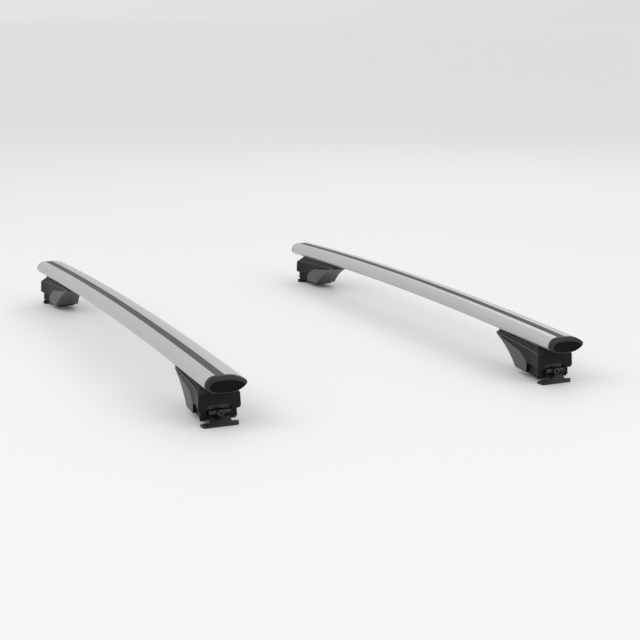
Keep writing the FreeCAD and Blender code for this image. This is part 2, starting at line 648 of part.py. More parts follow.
def claw():
    """The steel claw: pin eye, plate with two rolled shoulders, flared neck and hooked lip."""
    inner = d["pin_x"]
    outer = d["pin_x"] + d["claw_plate"]
    shoulder_x = outer + d["claw_plate"] / 2
    bend = d["bolt_z"] - d["shoulder_radius"]
    reach = d["lip_reach"]
    hook = d["lip_thickness"]
    rise = d["lip_rise"] + hook
    wall = d["claw_plate"]
    neck = [(inner, bend - wall), (reach - wall * 2, rise - hook), (reach - wall * 2, hook),
            (reach - wall / 2, hook), (reach - wall, rise), (outer, bend), (outer, d["pin_z"]),
            (inner, d["pin_z"])]
    plate = extruded("claw_plate_body", polygon("claw_neck_sketch", SIDE, neck), d["claw_half"] * 2,
                     symmetric=True)
    lip = [(d["lip_inner"], ZERO), (reach, ZERO), (reach, hook), (reach - wall, rise),
           (reach - wall * 2, rise), (reach - wall * 1.5, hook), (d["lip_inner"], hook)]
    blade = extruded("claw_lip_blade", polygon("claw_lip_sketch", SIDE, lip), d["lip_half"] * 4,
                     symmetric=True)
    plan = box("claw_lip_block", (inner, -d["lip_half"], ZERO), (reach, d["lip_half"], rise))

    def outer_corner(edge):
        ends = [v.Point for v in edge.Vertexes]
        upright = abs(ends[0].z - ends[-1].z) > 1
        return upright and all(abs(p.x - number(reach)) < 1e-6 for p in ends)

    outline = ease_edges("Part::Fillet", "claw_lip_plan", plan, d["lip_round"], outer_corner)
    rounded = common("claw_lip", blade, outline)
    eye = rod("claw_eye", "y", d["knuckle_radius"], d["claw_half"] * 2, x=inner, y=-d["claw_half"],
              z=d["pin_z"])
    width = d["claw_half"] - d["shoulder_gap"]
    starts = {"rear": -d["claw_half"], "front": d["shoulder_gap"]}
    shoulders = [rod(f"claw_shoulder_{part}", "y", d["shoulder_radius"], width, x=shoulder_x, y=start,
                     z=d["bolt_z"]) for part, start in starts.items()]
    hole = rod("claw_pin_hole", "y", d["pin_radius"] + d["pin_play"], d["claw_half"] * 4, x=inner,
               y=-d["claw_half"] * 2, z=d["pin_z"])
    slot_half = d["bolt_radius"] + d["bolt_clearance"]
    slot = box("claw_bolt_slot", (inner - wall, -slot_half, bend - d["bolt_clearance"]),
               (outer + wall / 2, slot_half, d["bolt_z"] + d["bolt_radius"] + d["claw_room"]))
    return cut("claw", fuse("claw_whole", plate, rounded, eye, *shoulders), hole, slot)


def lip_liner():
    hook = d["lip_thickness"]
    half = d["lip_half"] - d["liner_thickness"]
    low = (d["lip_inner"] + d["liner_thickness"], -half, hook)
    high = (d["lip_reach"] - d["claw_plate"] * 2 - d["liner_thickness"], half, hook + d["liner_thickness"])
    return box("lip_liner", low, high)


def claw_pin():
    return rod("claw_pin", "y", d["pin_radius"], d["pin_half"] * 2, x=d["pin_x"], y=-d["pin_half"],
               z=d["pin_z"])


def bolt_bearing():
    """The half-round bearing that lets the claw tilt under the bolt's head."""
    half = d["washer_half"]
    barrel = rod("bearing_barrel", "y", d["washer_radius"], half * 2, x=washer_x, y=-half, z=d["bolt_z"])
    radius = d["washer_radius"]
    block = box("bearing_block", (washer_x - radius, -half, d["bolt_z"] - radius),
                (washer_x + radius / 2, half, d["bolt_z"] + radius))
    hole = rod("bearing_hole", "x", d["bolt_radius"], radius * 4, x=washer_x - radius * 2, z=d["bolt_z"])
    return cut("bolt_bearing", common("bearing_half", barrel, block), hole)


def clamp_bolt():
    seat = washer_x + d["washer_radius"] / 2
    shank = rod("bolt_shank", "x", d["bolt_radius"], seat - d["bolt_tip"], x=d["bolt_tip"], z=d["bolt_z"])
    head = rod("bolt_head_body", "x", d["bolt_head"], d["bolt_head_length"], x=seat, z=d["bolt_z"])
    socket = add("Part::Prism", "bolt_socket_prism", Polygon=6)
    socket.Placement = FreeCAD.Placement(FreeCAD.Vector(), FreeCAD.Rotation(FreeCAD.Vector(0, 1, 0), 90))
    bind(socket, Circumradius=d["bolt_socket"], Height=d["bolt_head_length"])
    bind(socket, Placement__Base__x=seat + d["bolt_head_length"] / 3, Placement__Base__z=d["bolt_z"])
    return cut("clamp_bolt", fuse("bolt_whole", shank, head), socket)


def clamp_nut():
    half = d["nut_side"] / 2
    block = box("nut_block", (d["nut_x"], -half, d["bolt_z"] - half),
                (d["nut_x"] + d["nut_length"], half, d["bolt_z"] + half))
    hole = rod("nut_hole", "x", d["bolt_radius"] + d["pin_play"], d["nut_length"] * 2,
               x=d["nut_x"] - d["pin_radius"], z=d["bolt_z"])
    return cut("clamp_nut", block, hole)


def saddle_screws():
    """Two socket screws from under the foot up into the bar's channel."""
    screws = []
    seat = -d["saddle_depth"] - d["screw_seat"]
    top = -d["keel_depth"] + d["channel_lip"] + d["slider_height"]
    for part in ("inner", "outer"):
        shank = rod(f"screw_{part}_shank", "z", d["screw_radius"], top - seat, z=seat)
        head = rod(f"screw_{part}_head", "z", d["screw_head"], d["screw_head_length"],
                   z=seat - d["screw_head_length"])
        screws.append(along_arch(fuse(f"saddle_screw_{part}", shank, head), d[f"screw_{part}"]))
    return add("Part::Compound", "saddle_screws", Links=screws)


def channel_nuts():
    """Two sliding nuts in the bar's lower channel, one on each saddle screw."""
    nuts = []
    base = -d["keel_depth"] + d["channel_lip"]
    half = d["channel_width"] / 2 - d["slider_room"]
    long = d["slider_length"] / 2
    for part in ("inner", "outer"):
        block = box(f"slider_{part}_block", (-long, -half, base), (long, half, base + d["slider_height"]))
        hole = rod(f"slider_{part}_hole", "z", d["screw_radius"], d["slider_height"] * 3,
                   z=base - d["slider_height"])
        nuts.append(along_arch(cut(f"slider_{part}", block, hole), d[f"screw_{part}"]))
    return add("Part::Compound", "channel_nuts", Links=nuts)


def place(label, master, across, turned=False):
    """One named piece: the master carried to its bar, and turned round for the left side."""
    piece = add("Part::Compound", label, Links=[master])
    turn = FreeCAD.Rotation(FreeCAD.Vector(0, 0, 1), 180 if turned else 0)
    piece.Placement = FreeCAD.Placement(FreeCAD.Vector(), turn)
    bind(piece, Placement__Base__y=across)
    piece.Label = label
    return piece


masters = {
    "foot_body": foot_body(),
    "outer_cover": outer_cover(),
    "rail_pad": rail_pad(),
    "claw": claw(),
    "lip_liner": lip_liner(),
    "claw_pin": claw_pin(),
    "clamp_bolt": clamp_bolt(),
    "bolt_bearing": bolt_bearing(),
    "clamp_nut": clamp_nut(),
    "saddle_screws": saddle_screws(),
    "channel_nuts": channel_nuts(),
}
profile = bar_profile("profile")
strip = slot_strip("strip")
bind(profile, Placement__Base__z=arch_level)
bind(strip, Placement__Base__z=arch_level)
end = d["bar_length"] / 2
sides = {"left": -1, "right": 1}
caps = {side: along_arch(end_cap(f"cap_{label}", side), end, side) for label, side in sides.items()}
saddles = {side: saddle(side) for side in (-1, 1)}

nodes = []
for axle, sign in (("front", 0.5), ("rear", -0.5)):
    across = d["bar_spacing"] * sign
    nodes.append(place(f"{axle}_bar_profile", profile, across))
    nodes.append(place(f"{axle}_slot_strip", strip, across))
    for label, side in sides.items():
        nodes.append(place(f"{axle}_{label}_end_cap", caps[side], across))
        nodes.append(place(f"{axle}_{label}_saddle", saddles[side], across))
        for part, master in masters.items():
            nodes.append(place(f"{axle}_{label}_{part}", master, across, turned=side < 0))
doc.recompute()

faults = [item.Name for item in doc.Objects if "Invalid" in item.State or "Error" in item.State]
for item in nodes:
    if item.Shape.isNull() or not item.Shape.isValid() or not item.Shape.Solids:
        faults.append(item.Label)
if faults:
    raise RuntimeError("failed pieces: " + ", ".join(faults))

os.makedirs("parts", exist_ok=True)
for item in nodes:
    item.Shape.exportStep(f"parts/{item.Label}.step")
print(len(nodes), "pieces written")
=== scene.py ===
# %% [markdown]
# A pair of roof cross bars, dressed.
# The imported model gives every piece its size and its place. This lesson gives each piece its finish, and
# rebuilds the pieces whose faceted solids are too coarse for a close look: the arched bars, their rubber
# strips and their end caps. The moulded and pressed pieces keep their solids, with softened edges.

import json
import math

import bmesh
import bpy
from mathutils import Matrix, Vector


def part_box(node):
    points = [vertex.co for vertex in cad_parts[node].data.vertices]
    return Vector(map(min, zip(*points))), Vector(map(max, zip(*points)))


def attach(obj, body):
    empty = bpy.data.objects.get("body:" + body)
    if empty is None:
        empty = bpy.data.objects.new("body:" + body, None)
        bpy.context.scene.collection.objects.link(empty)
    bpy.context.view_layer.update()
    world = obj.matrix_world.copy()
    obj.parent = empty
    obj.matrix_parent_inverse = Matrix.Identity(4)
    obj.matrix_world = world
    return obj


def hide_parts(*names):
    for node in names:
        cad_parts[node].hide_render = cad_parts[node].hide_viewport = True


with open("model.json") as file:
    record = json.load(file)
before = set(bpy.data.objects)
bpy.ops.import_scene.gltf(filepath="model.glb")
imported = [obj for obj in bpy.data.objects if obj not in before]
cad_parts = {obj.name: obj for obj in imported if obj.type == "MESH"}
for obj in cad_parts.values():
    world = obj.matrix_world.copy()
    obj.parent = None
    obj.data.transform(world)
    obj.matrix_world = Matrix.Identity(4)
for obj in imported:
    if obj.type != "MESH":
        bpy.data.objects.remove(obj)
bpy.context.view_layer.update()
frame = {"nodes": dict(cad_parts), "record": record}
scene = bpy.context.scene
scene.view_settings.view_transform = "Standard"
MM = 0.001
record = frame["record"]
slot_of = {row["node"]: row["material_slot"] for row in record["subparts"]}
body_of = {node: body for body, nodes in record["behaviour"]["bodies"].items() for node in nodes}
print("pieces in the frame:", len(frame["nodes"]))

# %% [markdown]
# Shader maths reads best as arithmetic. A small class wraps one socket, and the usual operators add the
# Math nodes for it, so a finish is written as a formula and the node tree follows by itself. One method
# adds every other kind of node. A wire without a socket stands for the tree alone.

# %% A socket that can be added and multiplied


class Wire:
    """One socket of a node tree, with arithmetic."""

    def __init__(self, tree, socket=None):
        self.tree = tree
        self.socket = socket

    def node(self, kind, settings=None, sockets=None, output=0):
        """Add a node: its settings first, then the values or links of its sockets."""
        made = self.tree.nodes.new(kind)
        for key, value in (settings or {}).items():
            setattr(made, key, value)
        for key, value in (sockets or {}).items():
            Wire(self.tree, made.inputs[key]).take(value)
        return Wire(self.tree, made.outputs[output])

    def take(self, value):
        """Feed this input with another wire, or with a plain value."""
        if isinstance(value, Wire):
            self.tree.links.new(value.socket, self.socket)
        else:
            self.socket.default_value = value

    def maths(self, operation, first, second=0.0):
        return self.node("ShaderNodeMath", {"operation": operation}, {0: first, 1: second})

    def __add__(self, other):
        return self.maths("ADD", self, other)

    def __radd__(self, other):
        return self.maths("ADD", other, self)

    def __sub__(self, other):
        return self.maths("SUBTRACT", self, other)

    def __rsub__(self, other):
        return self.maths("SUBTRACT", other, self)

    def __mul__(self, other):
        return self.maths("MULTIPLY", self, other)

    def __rmul__(self, other):
        return self.maths("MULTIPLY", other, self)


print("shader arithmetic is ready")

# %% [markdown]
# Every finish here is built from the same few steps: noise that is fixed to the piece by its Object
# coordinates, a blend of two close colours, and a bump so shallow that only the gloss shows it. Each step
# gets a helper, so that the finishes below are short.

# %% Steps that the finishes share


def noise(sheet, scale, detail=2.0, roughness=0.5):
    """Noise with a scale for each axis, in waves per metre."""
    where = sheet.node("ShaderNodeTexCoord", output="Object")
    place = sheet.node("ShaderNodeMapping", {"vector_type": "POINT"}, {"Vector": where, "Scale": scale})
    sockets = {"Vector": place, "Scale": 1.0, "Detail": detail, "Roughness": roughness}
    return sheet.node("ShaderNodeTexNoise", {"noise_dimensions": "3D"}, sockets)


MIX_SHARE, MIX_LOW, MIX_HIGH, MIX_COLOUR = 0, 6, 7, 2


def blend(sheet, share, low, high):
    """A colour between two others."""
    sockets = {MIX_SHARE: share, MIX_LOW: (*low, 1.0), MIX_HIGH: (*high, 1.0)}
    return sheet.node("ShaderNodeMix", {"data_type": "RGBA"}, sockets, MIX_COLOUR)


def bump(sheet, height, depth):
    """A bumped normal; the depth is in metres."""
    return sheet.node("ShaderNodeBump", None, {"Height": height, "Strength": 1.0, "Distance": depth})


def new_finish(name):
    """An empty material, its tree and its shader."""
    material = bpy.data.materials.new(name)
    material.use_nodes = True
    return material, Wire(material.node_tree), material.node_tree.nodes["Principled BSDF"]


def feed(sheet, shader, inputs):
    """Link or set the shader's inputs."""
    for name, value in inputs.items():
        Wire(sheet.tree, shader.inputs[name]).take(value)


print("helpers:", noise.__name__, blend.__name__, bump.__name__)

# %% [markdown]
# The bars are satin anodised aluminium. Extruding draws faint lines along the length, and the bead-blast
# under the anodising gives a soft, slightly cloudy sheen. Noise stretched along X makes both.

# %% Anodised aluminium
DRAW_WAVES = (1.5, 1400.0, 1400.0)
CLOUD_WAVES = (7.0, 22.0, 22.0)
BLAST_WAVES = (2600.0, 2600.0, 2600.0)
ALUMINIUM_DARK = (0.50, 0.505, 0.515)
ALUMINIUM_LIGHT = (0.58, 0.585, 0.595)
SATIN_ROUGHNESS = 0.33
BLAST_DEPTH = 0.03 * MM


def anodised_aluminium(name):
    material, sheet, shader = new_finish(name)
    draw_lines = noise(sheet, DRAW_WAVES, 2.0)
    cloud = noise(sheet, CLOUD_WAVES, 3.0)
    blast = noise(sheet, BLAST_WAVES, 1.0)
    feed(sheet, shader, {
        "Metallic": 1.0,
        "Base Color": blend(sheet, cloud * 0.6 + draw_lines * 0.4, ALUMINIUM_DARK, ALUMINIUM_LIGHT),
        "Roughness": cloud * 0.08 + draw_lines * 0.10 + SATIN_ROUGHNESS,
        "Normal": bump(sheet, draw_lines * 0.7 + blast * 0.3, BLAST_DEPTH),
    })
    return material


FINISHES = {"bar_aluminium": anodised_aluminium("anodised_aluminium")}
print("bar finish:", FINISHES["bar_aluminium"].name)

# %% [markdown]
# The moulded pieces share one recipe: a dark plastic with a fine spark-eroded grain that lifts its
# roughness, and a slow cloud of colour, because moulded black is never one flat tone. Rubber is the same
# recipe with a coarser bloom and almost no gloss.

# %% Mouldings and rubber
MOULD_CLOUD_WAVES = (26.0, 26.0, 26.0)
BLUE_CAST = 1.07
MOULDINGS = {
    # dark, light, roughness, grain size, grain depth, specular level
    "strip_rubber": (0.068, 0.105, 0.66, 0.4 * MM, 0.04 * MM, 0.35),
    "cap_moulding": (0.016, 0.027, 0.36, 0.5 * MM, 0.03 * MM, 0.35),
    "cap_panel": (0.002, 0.004, 0.24, 0.8 * MM, 0.01 * MM, 0.1),
    "foot_moulding": (0.050, 0.074, 0.42, 0.6 * MM, 0.05 * MM, 0.45),
    # painted shade: the foot's core under its cover, painted darker than the fin
    "core_painted_shade": (0.007, 0.012, 0.55, 0.6 * MM, 0.05 * MM, 0.15),
    # the cover is black moulding, set much darker than the fin as painted shade on its outer face, which
    # turns away from the light
    "cover_moulding": (0.010, 0.017, 0.42, 0.6 * MM, 0.05 * MM, 0.1),
    "saddle_rubber": (0.020, 0.034, 0.52, 0.5 * MM, 0.05 * MM, 0.45),
    "pad_rubber": (0.010, 0.018, 0.78, 0.5 * MM, 0.06 * MM, 0.25),
}


def grey(value):
    """A grey with the faint blue of dark plastic."""
    return (value, value, value * BLUE_CAST)


def moulded(name, dark, light, roughness, grain_size, grain_depth, specular):
    material, sheet, shader = new_finish(name)
    fine = 1.0 / grain_size
    grain = noise(sheet, (fine, fine, fine), 2.0, 0.6)
    cloud = noise(sheet, MOULD_CLOUD_WAVES, 3.0)
    feed(sheet, shader, {
        "Base Color": blend(sheet, cloud * 0.75 + grain * 0.25, grey(dark), grey(light)),
        "Roughness": grain * 0.14 + cloud * 0.08 + (roughness - 0.11),
        "Normal": bump(sheet, grain, grain_depth),
        "Specular IOR Level": specular,
    })
    return material


for name, look in MOULDINGS.items():
    FINISHES[name] = moulded(name, *look)
print("mouldings:", ", ".join(MOULDINGS))

# %% [markdown]
# The claws, bolts and hidden fasteners are steel. A black coating flows a little before it sets, which
# leaves a faint orange peel; on the plain fasteners most of the metal shows through. With the last finish
# made, every piece in the frame gets the one that its slot names.

# %% Coated steel
PEEL_WAVES = (420.0, 420.0, 420.0)
STEEL_CLOUD_WAVES = (40.0, 40.0, 40.0)
PEEL_DEPTH = 0.06 * MM
STEELS = {
    # dark, light, roughness, metallic
    "claw_steel": (0.005, 0.010, 0.30, 0.0),
    "bolt_steel": (0.022, 0.042, 0.34, 0.5),
    "fastener_steel": (0.42, 0.56, 0.36, 0.9),
}


def coated_steel(name, dark, light, roughness, metallic):
    material, sheet, shader = new_finish(name)
    peel = noise(sheet, PEEL_WAVES, 2.0)
    cloud = noise(sheet, STEEL_CLOUD_WAVES, 3.0)
    feed(sheet, shader, {
        "Metallic": metallic,
        "Base Color": blend(sheet, cloud, grey(dark), grey(light)),
        "Roughness": cloud * 0.12 + (roughness - 0.06),
        "Normal": bump(sheet, peel, PEEL_DEPTH),
    })
    return material


for name, look in STEELS.items():
    FINISHES[name] = coated_steel(name, *look)
for node, piece in frame["nodes"].items():
    piece.data.materials.clear()
    piece.data.materials.append(FINISHES[slot_of[node]])
print("steels:", ", ".join(STEELS))

# %% [markdown]
# The bar's section is a wing: a flat crown round the slot, a flat keel over the lower channel, and four
# large arcs that meet a small nose circle and a smaller tail circle without a corner. An arc that leaves a
# flat's end and touches a circle from outside has one radius only, so the section needs few numbers.

# %% The wing section
CROWN_HEIGHT = 17 * MM
KEEL_DEPTH = 16 * MM
HALF_CHORD = 40 * MM
NOSE = (HALF_CHORD - 7.5 * MM, -1 * MM, 7.5 * MM)
TAIL = (-HALF_CHORD + 5 * MM, 0.5 * MM, 5 * MM)
CROWN_ENDS = (21 * MM, -1 * MM)
KEEL_ENDS = (-8 * MM, 14 * MM)
QUARTER = math.pi / 2
ARC_STEP = math.radians(4)


def swing(centre, radius, start, end):
    """Points of an anticlockwise arc, both ends included."""
    if end < start:
        end += 2 * math.pi
    count = max(3, math.ceil((end - start) / ARC_STEP))
    angles = [start + (end - start) * step / count for step in range(count + 1)]
    return [(centre[0] + radius * math.cos(a), centre[1] + radius * math.sin(a)) for a in angles]


def flank(edge, level, tip):
    """Centre and radius of the arc from a flat's end to a tip circle, and its angle there."""
    across, up = tip[0] - edge, abs(tip[1] - level)
    radius = (across ** 2 + up ** 2 - tip[2] ** 2) / (2 * (up - tip[2]))
    centre = (edge, level - math.copysign(radius, level))
    return centre, radius, math.atan2(tip[1] - centre[1], tip[0] - centre[0])


def wing(crown=(), keel=()):
    """The section anticlockwise from the front end of the crown; extra points may break the flats."""
    rear_top = flank(CROWN_ENDS[1], CROWN_HEIGHT, TAIL)
    rear_low = flank(KEEL_ENDS[0], -KEEL_DEPTH, TAIL)
    front_low = flank(KEEL_ENDS[1], -KEEL_DEPTH, NOSE)
    front_top = flank(CROWN_ENDS[0], CROWN_HEIGHT, NOSE)
    points = list(crown)
    points += swing(*rear_top[:2], QUARTER, rear_top[2])
    points += swing(TAIL[:2], TAIL[2], rear_top[2], rear_low[2])[1:]
    points += swing(*rear_low[:2], rear_low[2], -QUARTER)[1:]
    points += list(keel)
    points += swing(*front_low[:2], -QUARTER, front_low[2])
    points += swing(NOSE[:2], NOSE[2], front_low[2], front_top[2])[1:]
    points += swing(*front_top[:2], front_top[2], QUARTER)[1:]
    return points


print("points round a plain wing:", len(wing()))

# %% [markdown]
# The crown is cut by the slot that holds the strip, and the keel by the channel that the feet screw into.
# Only the mouths show, so each is a shallow notch with a small lip on either side.

# %% The slot and the channel
SLOT_MIDDLE = 10 * MM
SLOT_HALF = 8.5 * MM
CHANNEL_HALF = 3.5 * MM
MOUTH_DEPTH = 3 * MM
LIP = 0.5 * MM


def notch(middle, half, level, depth):
    """A slot cut into a flat, walked from one lip to the other; depth is positive downwards."""
    side = 1 if depth > 0 else -1
    return [(middle + side * (half + LIP), level), (middle + side * half, level - side * LIP),
            (middle + side * half, level - depth), (middle - side * half, level - depth),
            (middle - side * half, level - side * LIP), (middle - side * (half + LIP), level)]


bar_section = wing(notch(SLOT_MIDDLE, SLOT_HALF, CROWN_HEIGHT, MOUTH_DEPTH),
                   notch(0.0, CHANNEL_HALF, -KEEL_DEPTH, -MOUTH_DEPTH))
print("points round the bar's section:", len(bar_section))

# %% [markdown]
# A bar is that section carried along a flat arc. It could be lofted by hand, but a node tree says the rule
# itself: a line of points is bent to the arch, and Curve to Mesh carries the section along it. The same
# tree makes the strip, so both follow one arch.

# %% The arch as a node tree
BAR_LENGTH = 1270 * MM
CAMBER = 13 * MM
BAR_HEIGHT = 86 * MM
ARCH_RADIUS = BAR_LENGTH ** 2 / (8 * CAMBER)
HALF_TURN = BAR_LENGTH / 2 / ARCH_RADIUS
ARCH_LEVEL = BAR_HEIGHT + CAMBER
RINGS = 97
ARCH_SIZES = {"Radius": ARCH_RADIUS, "Half turn": HALF_TURN, "Level": ARCH_LEVEL, "Across": 0.0}


def arch_tree():
    tree = bpy.data.node_groups.new("section_along_arch", "GeometryNodeTree")
    add = tree.interface.new_socket
    add("Geometry", in_out="INPUT", socket_type="NodeSocketGeometry")
    for name, value in ARCH_SIZES.items():
        add(name, in_out="INPUT", socket_type="NodeSocketFloat").default_value = value
    add("Rings", in_out="INPUT", socket_type="NodeSocketInt").default_value = RINGS
    add("Finish", in_out="INPUT", socket_type="NodeSocketMaterial")
    add("Geometry", in_out="OUTPUT", socket_type="NodeSocketGeometry")
    sheet = Wire(tree)
    given = {socket.name: Wire(tree, socket) for socket in tree.nodes.new("NodeGroupInput").outputs}
    line = sheet.node("GeometryNodeCurvePrimitiveLine", None, {"Start": (-1, 0, 0), "End": (1, 0, 0)})
    path = sheet.node("GeometryNodeResampleCurve", None, {"Curve": line, "Count": given["Rings"]})
    share = sheet.node("GeometryNodeSplineParameter", output="Factor")
    turn = (share * 2.0 - 1.0) * given["Half turn"]
    along = turn.maths("SINE", turn) * given["Radius"]
    up = (turn.maths("COSINE", turn) - 1.0) * given["Radius"] + given["Level"]
    spot = sheet.node("ShaderNodeCombineXYZ", None, {"X": along, "Y": given["Across"], "Z": up})
    bent = sheet.node("GeometryNodeSetPosition", None, {"Geometry": path, "Position": spot})
    upright = sheet.node("GeometryNodeSetCurveNormal", {"mode": "Z_UP"}, {"Curve": bent})
    section = sheet.node("GeometryNodeMeshToCurve", None, {"Mesh": given["Geometry"]})
    carried = sheet.node("GeometryNodeCurveToMesh", None,
                         {"Curve": upright, "Profile Curve": section, "Fill Caps": True})
    real = sheet.node("GeometryNodeRealizeInstances", None, {"Geometry": carried})
    dressed = sheet.node("GeometryNodeSetMaterial", None, {"Geometry": real, "Material": given["Finish"]})
    Wire(tree, tree.nodes.new("NodeGroupOutput").inputs[0]).take(dressed)
    return tree


ARCH = arch_tree()
print("nodes in the arch tree:", len(ARCH.nodes))

# %% [markdown]
# The tree gives a live result, and a plain mesh is wanted. So each piece is evaluated once, its
# doubles are merged, its faces are turned outwards, and it is shaded smooth except at true corners. It then
# stands in for the solid of the same name: it rides on that solid's body and takes its slot.

# %% The two bars
SHARP = math.radians(32)
MERGE = 1e-6
BAR_ACROSS = {"front": 358.5 * MM, "rear": -358.5 * MM}


def linked(name, mesh):
    piece = bpy.data.objects.new(name, mesh)
    scene.collection.objects.link(piece)
    return piece


def smooth(mesh):
    """Smooth shading, with a crease where faces meet at more than the sharp angle."""
    mesh.shade_smooth()
    mesh.set_sharp_from_angle(angle=SHARP)
    return mesh


def outward(mesh):
    """Merge doubles and turn every face outwards."""
    work = bmesh.new()
    work.from_mesh(mesh)
    bmesh.ops.remove_doubles(work, verts=work.verts, dist=MERGE)
    bmesh.ops.recalc_face_normals(work, faces=work.faces)
    work.to_mesh(mesh)
    work.free()
    return mesh


def baked(piece):
    """The piece's mesh with its modifiers applied, and the modifiers gone."""
    ready = piece.evaluated_get(bpy.context.evaluated_depsgraph_get())
    mesh = bpy.data.meshes.new_from_object(ready)
    piece.modifiers.clear()
    return mesh


def swept(name, section, across, finish):
    """One piece made by the arch tree, as a plain mesh at the origin."""
    ring = bpy.data.meshes.new(name + "_section")
    count = len(section)
    ring.from_pydata([(-y, -z, 0.0) for y, z in section], [(i, (i + 1) % count) for i in range(count)], [])
    piece = linked(name, ring)
    modifier = piece.modifiers.new("arch", "NODES")
    modifier.node_group = ARCH
    keys = {item.name: item.identifier for item in ARCH.interface.items_tree if item.in_out == "INPUT"}
    modifier[keys["Across"]] = across
    modifier[keys["Finish"]] = finish
    piece.data = smooth(outward(baked(piece)))
    return piece


def stand_for(piece, node):
    """The piece rides where the node rides, and the node is hidden, so the piece is shown in its place."""
    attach(piece, body_of[node])
    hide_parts(node)


for axle, across in BAR_ACROSS.items():
    bar = swept(f"{axle}_wing_bar", bar_section, across, FINISHES["bar_aluminium"])
    stand_for(bar, f"{axle}_bar_profile")
    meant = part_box(f"{axle}_bar_profile")
    print(axle, "bar, size made:", [round(v, 4) for v in bar.dimensions],
          "meant:", [round(high - low, 4) for low, high in zip(*meant)])

# %% [markdown]
# The rubber strip fills the slot. Its top carries fine lengthwise ribs so a load does not slide, and it
# stands a hair proud of the metal. The ribs are real: the strip's section has them, and the arch carries
# them along.

# %% The ribbed strip
STRIP_HALF = 8.1 * MM
STRIP_TOP = CROWN_HEIGHT + 0.4 * MM
STRIP_FLOOR = CROWN_HEIGHT - 2.9 * MM
RIB_COUNT = 6
RIB_DEPTH = 0.45 * MM
RIB_POINTS = 8
GROOVE_SHARPNESS = 3


def strip_section():
    points = [(SLOT_MIDDLE - STRIP_HALF, STRIP_FLOOR), (SLOT_MIDDLE + STRIP_HALF, STRIP_FLOOR)]
    total = RIB_COUNT * RIB_POINTS
    for step in range(total + 1):
        across = STRIP_HALF * (1 - 2 * step / total)
        wave = 0.5 + 0.5 * math.cos(2 * math.pi * step / RIB_POINTS)
        points.append((SLOT_MIDDLE + across, STRIP_TOP - RIB_DEPTH * wave ** GROOVE_SHARPNESS))
    return points


for axle, across in BAR_ACROSS.items():
    strip = swept(f"{axle}_ribbed_strip", strip_section(), across, FINISHES["strip_rubber"])
    stand_for(strip, f"{axle}_slot_strip")
print("ribs on each strip:", RIB_COUNT)

# %% [markdown]
# An end cap is a moulding with a domed rim round a sunk oval face. It is built from rings: the wing section
# is drawn in towards the face while the ring moves outwards, a quarter of an oval in all, and then a small
# step leads down into the recess. The face lies low, so the rim is widest on top, where it catches light.

# %% The rings of a cap
CAP_LENGTH = 9 * MM
SKIRT = 3 * MM
RIM_STEPS = 10
RIM_SHARE = 0.97
FACE_SIZE = (0.84, 0.66)
FACE_SHIFT = (-0.4 * MM, -3 * MM)
FACE_RECESS = 0.9 * MM
RECESS_STEPS = ((0.985, 0.1), (1.0, 0.9), (1.015, 1.0))


def cap_ring(drawn_in, out):
    """The wing section drawn in towards the face, by a share of the way, at a distance outwards."""
    wide, high = (1 - drawn_in * (1 - size) for size in FACE_SIZE)
    across, up = (drawn_in * shift for shift in FACE_SHIFT)
    return [(y * wide + across, z * high + up) for y, z in wing()], out


def cap_rings():
    """The rings from the bar to the face: a straight skirt, the domed rim, and the step down."""
    rings = [cap_ring(0.0, 0.0), cap_ring(0.0, SKIRT)]
    for step in range(1, RIM_STEPS + 1):
        turn = QUARTER * step / RIM_STEPS
        out = SKIRT + (CAP_LENGTH - SKIRT) * math.sin(turn)
        rings.append(cap_ring(RIM_SHARE * (1 - math.cos(turn)), out))
    rings += [cap_ring(drawn_in, CAP_LENGTH - depth * FACE_RECESS) for drawn_in, depth in RECESS_STEPS]
    return rings


print("rings in a cap:", len(cap_rings()))

# %% [markdown]
# The rings are placed square to the arch at the bar's ends, so that a cap continues the bar's curve, and
# are joined by quads. The face is a second finish on the same mesh, glossier and blacker than the rim.

# %% End caps


def at_arch(distance, across, local):
    """A point given by its place along the arch, across and up, in the frame."""
    turn = distance / ARCH_RADIUS
    radius = ARCH_RADIUS + local[1]
    return (radius * math.sin(turn), across + local[0], ARCH_LEVEL - ARCH_RADIUS + radius * math.cos(turn))


def end_cap(name, across, side):
    work = bmesh.new()
    loops = []
    for ring, out in cap_rings():
        distance = side * (BAR_LENGTH / 2 + out)
        loops.append([work.verts.new(at_arch(distance, across, point)) for point in ring])
    count = len(loops[0])
    for first, second in zip(loops, loops[1:]):
        for index in range(count):
            after = (index + 1) % count
            work.faces.new((first[index], first[after], second[after], second[index]))
    face = work.faces.new(loops[-1])
    face.material_index = 1
    work.faces.new(loops[0])
    bmesh.ops.triangulate(work, faces=[face])
    bmesh.ops.recalc_face_normals(work, faces=work.faces)
    mesh = bpy.data.meshes.new(name)
    work.to_mesh(mesh)
    work.free()
    mesh.materials.append(FINISHES["cap_moulding"])
    mesh.materials.append(FINISHES["cap_panel"])
    return linked(name, smooth(mesh))


SIDES = {"left": -1, "right": 1}
for axle, across in BAR_ACROSS.items():
    for label, side in SIDES.items():
        cap = end_cap(f"{axle}_{label}_domed_cap", across, side)
        stand_for(cap, f"{axle}_{label}_end_cap")
        print(cap.name, "faces:", len(cap.data.polygons))

# %% [markdown]
# The feet, claws and fasteners are exact solids, but a solid's edge is a perfect knife, and no moulding or
# pressing has one. A copy of each mesh is merged, its flat faces are joined again, and a small bevel runs
# along every real edge, so that the edges catch light. Weighted normals then keep the flat faces flat. The
# core of a foot that shows under its cover is painted darker than the fin, as painted shade from the cover.

# %% Softened edges
EDGE_WIDTH = {
    "foot_body": 1.0 * MM, "outer_cover": 0.7 * MM, "saddle": 0.6 * MM, "rail_pad": 0.6 * MM,
    "claw": 0.8 * MM, "lip_liner": 0.3 * MM, "clamp_bolt": 0.5 * MM, "bolt_bearing": 0.4 * MM,
}
EDGE_ANGLE = math.radians(28)
FLAT_ANGLE = math.radians(0.4)
SOLID_MERGE = 2e-6
CORE_SHADE_START = 549 * MM
CORE_SHADE_TOP = 30 * MM


